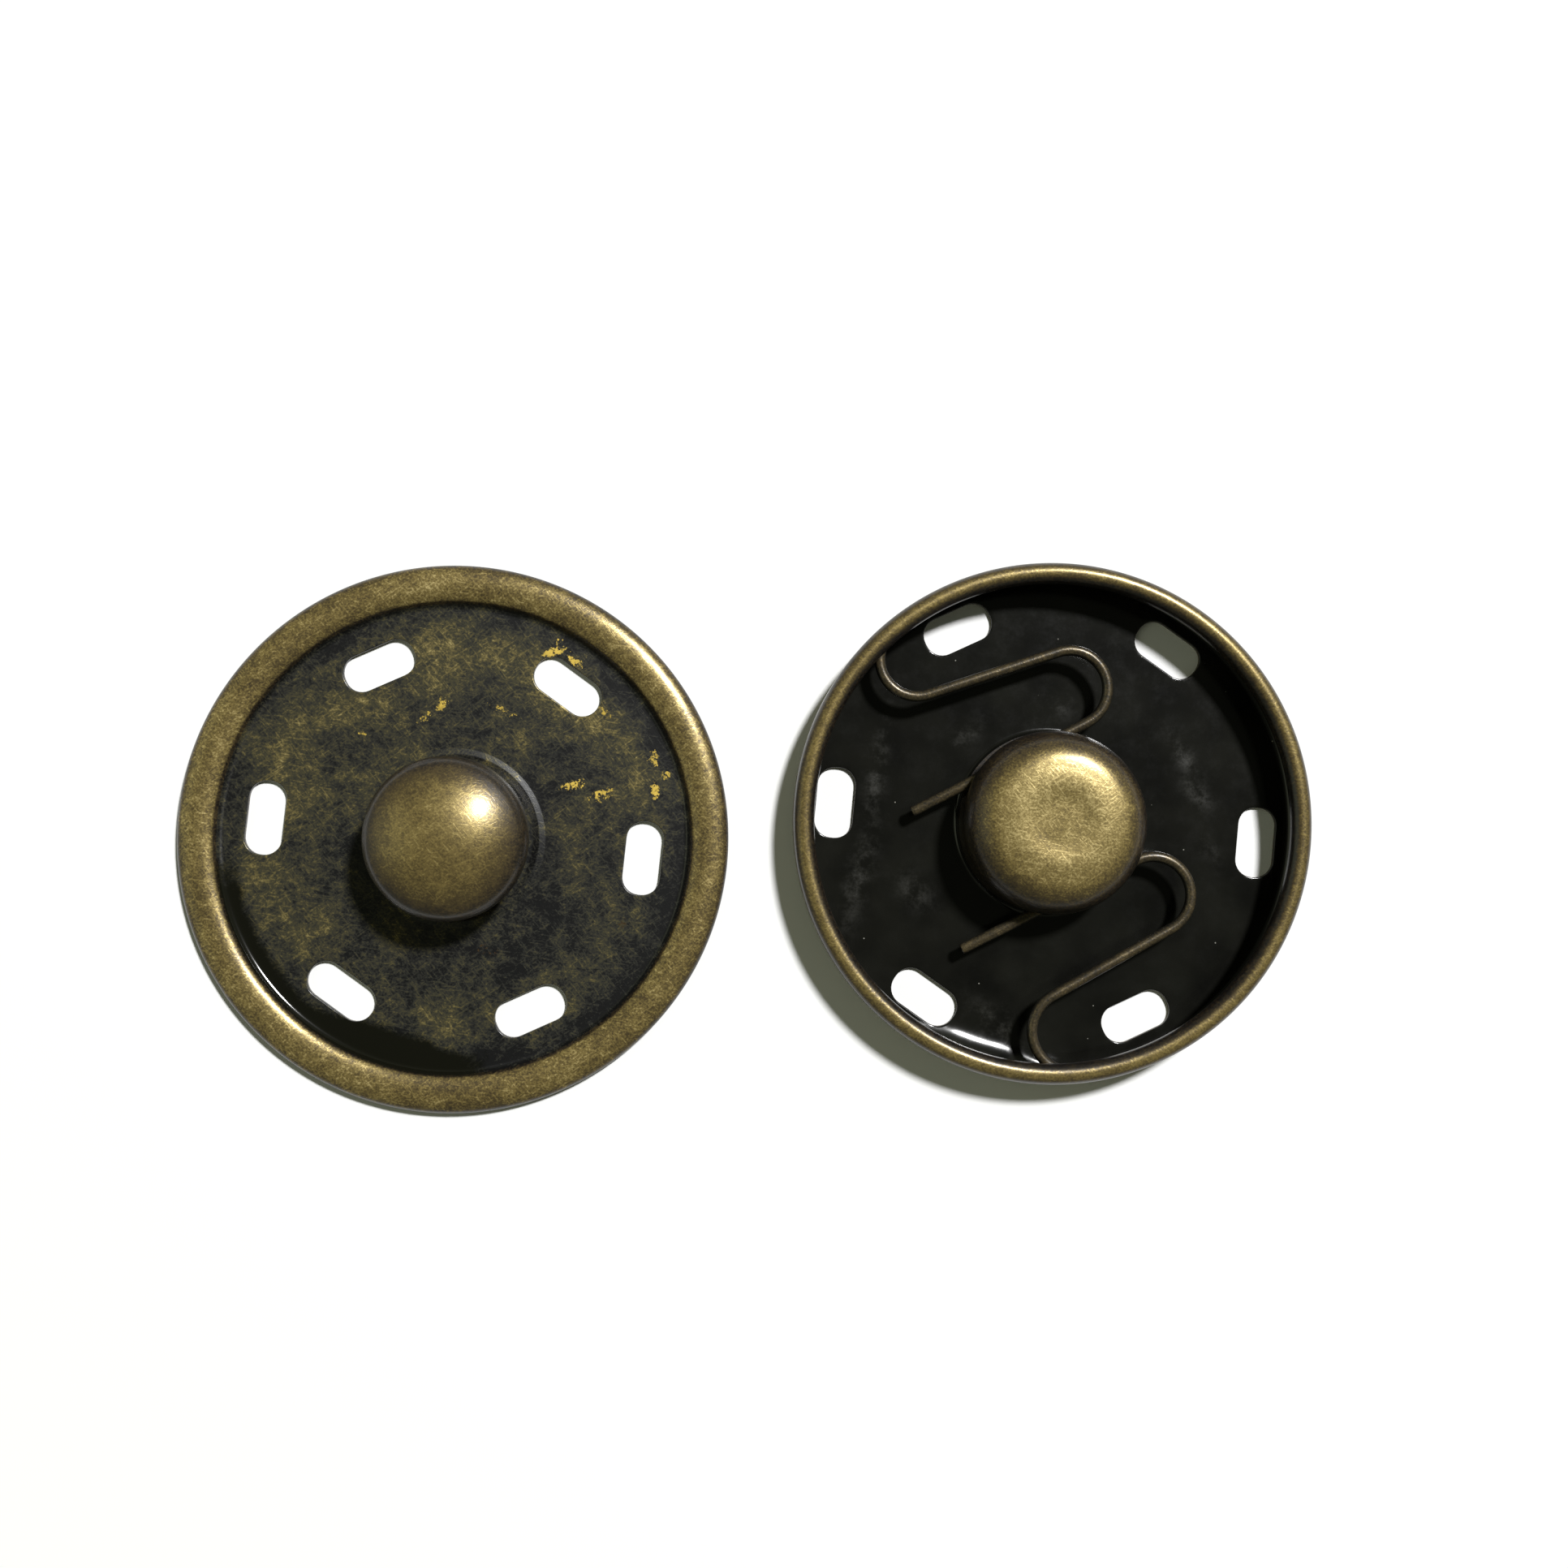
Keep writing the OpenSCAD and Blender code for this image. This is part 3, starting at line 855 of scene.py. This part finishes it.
@dataclass
class SocketHalf:
    """The socket half: a disc with six slots, a rolled rim and a cup in the middle."""

    outer_r: float = 14.197
    sheet_t: float = 0.25
    rim_h: float = 2.75
    corner_r: float = 0.6
    roll_wrap: float = 190.0
    roll_in_r: float = 0.32
    cup_r: float = 5.0
    cup_h: float = 4.5
    cup_shoulder_r: float = 2.0
    crown_drop: float = 0.35
    dimple_depth: float = 0.1
    dimple_r: float = 2.3
    mouth_r: float = 0.3
    meniscus_r: float = 2.0
    meniscus_middle: float = 252.0
    meniscus_half: float = 4.0
    window_v: float = 3.4
    window_top: float = 2.27
    spring_turn: float = 27.0
    centre: tuple[float, float] = field(default_factory=lambda: centre_of("socket_plate"))
    slots: Slots = Slots(length=3.9, width=2.1, ring_r=11.85, turn=-5.4, sheet_t=0.25)
    burnished: AntiqueBrass = AntiqueBrass("burnished_brass", mottle_weight=0.42)
    lacquered: BlackLacquer = BlackLacquer("black_lacquer")
    # Finger smears and a dried edge of lacquer on the black floor
    smears: tuple[Patch, ...] = (
        Patch(-9.5, 2.6, 6.0, 0.9, 82, 0.34),
        Patch(-10.5, -3.0, 6.0, 1.2, 74, 0.36),
        Patch(7.8, 3.6, 2.6, 0.9, -58, 0.3),
        Patch(8.5, 1.6, 2.0, 1.0, -50, 0.3),
        Patch(-7.4, -3.8, 2.2, 1.3, -45, 0.3),
        Patch(-4.5, 4.9, 1.9, 0.8, 40, 0.26),
        Patch(0.4, 6.4, 2.2, 1.2, 20, 0.2),
        Patch(-2.8, -11.2, 3.2, 1.4, -35, 0.34),
        Patch(9.2, -1.6, 1.6, 0.8, -60, 0.16),
    )

    def __post_init__(self) -> None:
        """Works out where the roll of the rim is."""
        roll_out_r = self.roll_in_r + self.sheet_t
        self.roll = (self.outer_r - roll_out_r, self.rim_h - roll_out_r)
        self.wall_r = self.outer_r - self.sheet_t

    def seen_side(self, corner_r: float) -> np.ndarray:
        """The upper side's outline, from the cup's dimple to the end of the rolled rim."""
        dimple_z = self.cup_h - self.dimple_depth
        bend_r = 2 * self.dimple_r
        outline = (
            [(0, dimple_z, 0)]
            + bends([
                (0, dimple_z),
                (self.dimple_r / 2, dimple_z, bend_r),
                (self.dimple_r, self.cup_h, bend_r),
                (self.cup_r, self.cup_h - self.crown_drop, self.cup_shoulder_r),
                (self.cup_r, self.sheet_t, self.mouth_r),
                (self.wall_r, self.sheet_t, corner_r),
                (self.wall_r, self.roll[1]),
            ], 12)
            + arc(self.roll, self.roll_in_r, 0, self.roll_wrap, 22)
        )
        return np.array(outline)

    def build(self) -> bpy.types.Object:
        """Builds and dresses the socket half.

        Returns:
            The finished piece.
        """
        plain = self.seen_side(self.corner_r)
        pooled = self.seen_side(self.meniscus_r)
        under = filled(plain, 0.5)
        sections = [band(filled(side, 0.18, plain), under, self.sheet_t) for side in (plain, pooled)]
        turned = Turned(self.centre)
        azimuth = np.arange(turned.sides) * 360 / turned.sides
        lift = angle_bump(azimuth, self.meniscus_middle, self.meniscus_half, 18)
        mesh = turned.mesh("socket_plate_fine", *sections, lift)
        piece = bpy.data.objects.new("socket_half", mesh)
        bpy.context.scene.collection.objects.link(piece)
        cut(piece, self.slots.cutter(self.centre))
        cut(piece, self.window_cutter())
        self.dress(piece.data)
        sharpen(piece.data, 35)
        place_piece(piece, "socket_plate")
        return piece

    def window_cutter(self) -> bpy.types.Object:
        """The two blocks that open the cup's windows for the wire, as one object."""
        low, high = self.sheet_t + self.mouth_r, self.window_top
        turn = radians(self.spring_turn)
        build = bmesh.new()
        for side in (-1, 1):
            corners = []
            for z in (low, high):
                for u, v in ((-1, 0), (1, 0), (1, 1), (-1, 1)):
                    along, away = u * self.cup_r, side * (self.window_v + v * self.cup_r)
                    x = self.centre[0] + along * cos(turn) - away * sin(turn)
                    y = self.centre[1] + along * sin(turn) + away * cos(turn)
                    corners.append(build.verts.new((x * MM, y * MM, z * MM)))
            for face in ((3, 2, 1, 0), (4, 5, 6, 7), (0, 1, 5, 4), (1, 2, 6, 5), (2, 3, 7, 6), (3, 0, 4, 7)):
                build.faces.new([corners[i] for i in (face if side > 0 else face[::-1])])
        mesh = bpy.data.meshes.new("window_blocks")
        build.to_mesh(mesh)
        build.free()
        blocks = bpy.data.objects.new("window_blocks", mesh)
        bpy.context.scene.collection.objects.link(blocks)
        return blocks

    def dress(self, mesh: bpy.types.Mesh) -> None:
        """Sets where the socket half is bright or painted darker as shade, and gives its floor the lacquer."""
        points, facing = points_of(mesh), normals_of(mesh)[:, 2]
        x, y, z = points[:, 0] - self.centre[0], points[:, 1] - self.centre[1], points[:, 2]
        r = np.hypot(x, y)
        # Painted shade: on the cup and the rolled rim the tone falls as the surface turns from up, so flanks are darker
        # than the rubbed crests.
        cup_tone = np.interp(facing, [0.0, 0.35, 0.6, 0.8, 0.9, 0.975, 1.0], [0.02, 0.04, 0.12, 0.26, 0.42, 0.58, 0.66])
        # The dimple was less rubbed than the crown round it
        cup_tone -= 0.05 * (1 - smooth_step(r, 1.2, 2.2))
        rim_tone = np.interp(facing, [0.0, 0.3, 0.7, 0.92, 1.0], [0.02, 0.05, 0.2, 0.46, 0.54])
        inner_tone = np.interp(facing, [0.6, 0.82, 0.92, 1.0], [0.0, 0.06, 0.38, 0.52])
        polish_and_shade = np.where(r < self.roll[0], inner_tone, rim_tone)
        on_cup = r < self.cup_r + 0.4
        polish_and_shade = np.where(on_cup, cup_tone, polish_and_shade)
        outer_wall = (r > self.wall_r + 0.02) & (z < self.roll[1])
        polish_and_shade = np.where(outer_wall, 0.3, polish_and_shade)
        # Painted shade: the cup's wall below 1.2 mm is made near black, as painted shade and a painted dark reflection
        # of the black floor.
        polish_and_shade = np.where((r < self.cup_r + 0.4) & (z < 1.2), 0.05, polish_and_shade)
        polish_and_shade = np.where((facing < -0.4) & (z < 0.1), 0.4, polish_and_shade)
        keep_field(mesh, Field.POLISH_AND_SHADE, polish_and_shade)
        keep_field(mesh, Field.BITE, np.where(on_cup, 0.75, 0.6))
        # No lacquer ran together on this half
        keep_field(mesh, Field.POOL, np.full(len(facing), -1.0))
        keep_field(mesh, Field.SMEAR, patches(list(self.smears), x, y))
        mesh.materials.clear()
        mesh.materials.append(self.burnished.material())
        mesh.materials.append(self.lacquered.material())
        lacquer_top = self.roll[1] - self.roll_in_r
        for face in mesh.polygons:
            middle = face.center
            radius = hypot(middle.x / MM - self.centre[0], middle.y / MM - self.centre[1])
            height = middle.z / MM
            inside = self.cup_r < radius < self.wall_r + 0.05 and self.sheet_t - 0.1 < height < lacquer_top
            face.material_index = int(inside and height > self.sheet_t - 0.02 and face.normal.z > -0.5)


@dataclass
class SpringWire:
    """The spring: one bent round wire, caught in the rolled rim and passing through the cup's windows."""

    socket: SocketHalf
    radius: float = 0.3
    hairpin_r: float = 2.1
    lip_gap: float = 0.06
    free_end_z: float = 1.2
    drop_l: float = 3.2
    first: tuple[float, float, float, float, float] = (102.7, 8.8, 4.0, 4.25, 10.8)
    second: tuple[float, float, float, float, float] = (111.7, 2.0, 3.95, 3.15, 10.7)
    sides: int = 20
    piece_l: float = 0.22
    finish: AntiqueBrass = AntiqueBrass(
        "bronzed_wire",
        stops=((0.0, "#110f0d"), (0.25, "#2a261e"), (0.5, "#594e38"), (0.75, "#8b7b58"), (1.0, "#ccba8c")),
        coat=0.2,
        scratch_mm=0.4,
    )

    def leg_z(self) -> float:
        """Height of the wire's centre line on its legs, just under the lip of the rolled rim."""
        roll_r = self.socket.roll_in_r + self.socket.sheet_t
        lip_z = self.socket.roll[1] + roll_r * sin(radians(self.socket.roll_wrap))
        return lip_z - self.lip_gap - self.radius

    def hairpin(self, exit_angle: float, splay: float, leg_v: float, bend_u: float, leg_l: float) -> list[tuple]:
        """One free half of the spring, from the rim inwards, with x on the spring's mirror line.

        Args:
            exit_angle: where the wire leaves the rim.
            splay: how much its outer leg closes in on the mirror line.
            leg_v: distance of its inner leg from the mirror line.
            bend_u: position of its inner bend along the mirror line.
            leg_l: length of its inner leg.

        Returns:
            Points of the centre line.
        """
        z = self.leg_z()
        rim_r = self.socket.roll[0]
        inner = np.array([bend_u, leg_v + self.hairpin_r])
        away = np.array([sin(radians(splay)), cos(radians(splay))])
        reach = inner @ away + self.hairpin_r
        closeness = cos(radians(exit_angle - 90 + splay))
        out_r = (rim_r * closeness - reach) / (1 + closeness)
        outer = (rim_r - out_r) * np.array([cos(radians(exit_angle)), sin(radians(exit_angle))])
        leg_from, leg_to = outer - out_r * away, inner + self.hairpin_r * away
        line = [(p[0], p[1], z) for p in arc(tuple(outer), out_r, exit_angle, 270 - splay, 60)][1:]
        parts = ceil(hypot(*(leg_to - leg_from)) / self.piece_l)
        line += [(*(leg_from + (leg_to - leg_from) * i / parts), z) for i in range(1, parts + 1)]
        line += [(p[0], p[1], z) for p in arc(tuple(inner), self.hairpin_r, 90 - splay, -90, 40)][1:]
        parts = ceil(leg_l / self.piece_l)
        for i in range(1, parts + 1):
            share = i / parts
            drop = (self.free_end_z - z) * (1 - cos(radians(90 * share)))
            line.append((bend_u - leg_l * share, leg_v, z + drop))
        return line

    def centre_line(self) -> np.ndarray:
        """The whole wire's centre line, in the frame, from one free end to the other."""
        first = self.hairpin(*self.first)
        second = [(x, -y, z) for x, y, z in self.hairpin(*self.second)]
        rim_r, rim_z = self.socket.roll
        start, end = self.first[0], -self.second[0]
        drop = degrees(self.drop_l / rim_r)
        arc_line = []
        parts = ceil((start - end) / 1.0)
        for i in range(parts + 1):
            a = start + (end - start) * i / parts
            inside = min(1, (start - a) / drop, (a - end) / drop)
            z = self.leg_z() + (rim_z - self.leg_z()) * (1 - cos(pi * inside)) / 2
            arc_line.append((rim_r * cos(radians(a)), rim_r * sin(radians(a)), z))
        line = np.array(first[::-1] + arc_line + second)
        turn = radians(self.socket.spring_turn)
        x = self.socket.centre[0] + line[:, 0] * cos(turn) - line[:, 1] * sin(turn)
        y = self.socket.centre[1] + line[:, 0] * sin(turn) + line[:, 1] * cos(turn)
        return np.stack([x, y, line[:, 2]], axis=1)

    def build(self) -> bpy.types.Object:
        """Builds and dresses the wire.

        Returns:
            The finished piece.
        """
        line = self.centre_line()
        ahead = np.gradient(line, axis=0)
        ahead /= np.linalg.norm(ahead, axis=1)[:, None]
        side = np.cross([0, 0, 1], ahead)
        side /= np.linalg.norm(side, axis=1)[:, None]
        up = np.cross(ahead, side)
        # Each end is cut flat, with its edge broken by a small chamfer
        chamfer = 0.05
        line = np.vstack([line[:1], line[:1] + ahead[:1] * chamfer, line[1:-1], line[-1:] - ahead[-1:] * chamfer, line[-1:]])
        side = np.vstack([side[:1], side, side[-1:]])
        up = np.vstack([up[:1], up, up[-1:]])
        radius = np.full(len(line), self.radius)
        radius[[0, -1]] -= chamfer
        angles = np.arange(self.sides) * 2 * pi / self.sides
        rings = line[:, None, :] + radius[:, None, None] * (
            np.cos(angles)[None, :, None] * side[:, None, :] + np.sin(angles)[None, :, None] * up[:, None, :]
        )
        faces = []
        for i in range(len(line) - 1):
            for k in range(self.sides):
                j = (k + 1) % self.sides
                faces.append((i * self.sides + k, i * self.sides + j, (i + 1) * self.sides + j, (i + 1) * self.sides + k))
        faces.append(tuple(range(self.sides))[::-1])
        faces.append(tuple((len(line) - 1) * self.sides + k for k in range(self.sides)))
        mesh = bpy.data.meshes.new("spring_wire_fine")
        mesh.from_pydata((rings.reshape(-1, 3) * MM).tolist(), [], faces)
        mesh.update()
        piece = bpy.data.objects.new("spring", mesh)
        bpy.context.scene.collection.objects.link(piece)
        facing = normals_of(mesh)[:, 2]
        # Painted light and shade: the wire's top is made lighter and its sides darker, by how far each point faces up.
        keep_field(mesh, Field.POLISH_AND_SHADE, 0.04 + 0.36 * smooth_step(facing, 0.1, 1.0))
        keep_field(mesh, Field.BITE, np.full(len(facing), 0.7))
        keep_field(mesh, Field.POOL, np.full(len(facing), -1.0))
        mesh.materials.append(self.finish.material())
        sharpen(mesh, 50)
        place_piece(piece, "spring_wire")
        return piece


# Table, light and camera


@dataclass(frozen=True)
class Studio:
    """A plain white table under one soft lamp and a soft sky."""

    table_half: float = 900.0
    lamp_azimuth: float = 50.0
    lamp_zenith: float = 37.0
    lamp_distance: float = 1500.0
    lamp_size: float = 200.0
    lamp_power: float = 27.0
    sky_low: float = 0.155
    sky_high: float = 0.04
    sky_colour: str = "#f9ffdc"
    window: tuple[float, float, float] = (-0.83, 0.05, 0.56)
    window_glow: float = 0.5
    card: TablePaper = TablePaper()

    def build(self) -> None:
        """Adds the table, the lamp and the sky."""
        half = self.table_half * MM
        mesh = bpy.data.meshes.new("table")
        below = -0.02 * MM
        mesh.from_pydata([(-half, -half, below), (half, -half, below), (half, half, below), (-half, half, below)], [], [(0, 1, 2, 3)])
        mesh.materials.append(self.card.material())
        table = bpy.data.objects.new("table", mesh)
        bpy.context.scene.collection.objects.link(table)
        lamp_data = bpy.data.lights.new("softbox", "AREA")
        lamp_data.shape = "DISK"
        lamp_data.size = self.lamp_size * MM
        lamp_data.energy = self.lamp_power
        lamp = bpy.data.objects.new("softbox", lamp_data)
        a, t = radians(self.lamp_azimuth), radians(self.lamp_zenith)
        towards = Vector((sin(t) * cos(a), sin(t) * sin(a), cos(t)))
        lamp.location = towards * self.lamp_distance * MM
        lamp.rotation_euler = towards.to_track_quat("Z", "Y").to_euler()
        bpy.context.scene.collection.objects.link(lamp)
        self.sky()

    def sky(self) -> None:
        """Lights the scene from a dome that is darker overhead, with a pale window on the left."""
        world = bpy.data.worlds.new("sky")
        bpy.context.scene.world = world
        world.use_nodes = True
        tree = world.node_tree
        direction = add(tree, "TexCoord").outputs["Generated"]
        height = add(tree, "SeparateXYZ", inputs={0: direction}).outputs["Z"]
        spans = {"Value": height, 1: 0.35, 2: 0.95, 3: self.sky_low, 4: self.sky_high}
        strength = add(tree, "MapRange", {"interpolation_type": "SMOOTHSTEP"}, spans).outputs[0]
        towards = add(tree, "VectorMath", {"operation": "DOT_PRODUCT"}, {0: direction, 1: self.window})
        spans = {"Value": towards.outputs["Value"], 1: 0.88, 2: 0.99, 3: 0.0, 4: self.window_glow}
        glow = add(tree, "MapRange", {"interpolation_type": "SMOOTHSTEP"}, spans).outputs[0]
        strength = weighted_sum(tree, [(strength, 1.0), (glow, 1.0)])
        tree.links.new(strength, tree.nodes["Background"].inputs["Strength"])
        tree.nodes["Background"].inputs["Color"].default_value = linear(self.sky_colour)


@dataclass(frozen=True)
class PhotoCamera:
    """The camera, held close over the pair and nearly upright."""

    place: tuple[float, float, float] = (-1.075, 0.71, 85.0)
    tilt: tuple[float, float, float] = (1.523, -2.158, 0.0)
    focal_px: float = 1887.1

    def build(self) -> None:
        """Adds the camera and makes it the scene's own."""
        data = bpy.data.cameras.new("camera")
        data.sensor_width = SENSOR_W
        data.lens = SENSOR_W * self.focal_px / PICTURE_SIDE
        data.clip_start = 5 * MM
        camera = bpy.data.objects.new("camera", data)
        camera.location = Vector(self.place) * MM
        camera.rotation_euler = [radians(t) for t in self.tilt]
        bpy.context.scene.collection.objects.link(camera)
        bpy.context.scene.camera = camera


def main() -> None:
    """Builds the whole scene, and logs each piece's count of points and faces."""
    logging.basicConfig(level=logging.INFO, format="%(name)s: %(message)s")
    bpy.context.scene.view_settings.view_transform = "Standard"
    PhotoCamera().build()
    socket = SocketHalf()
    StudHalf().build()
    socket.build()
    SpringWire(socket).build()
    Studio().build()


if __name__ == "__main__":
    main()
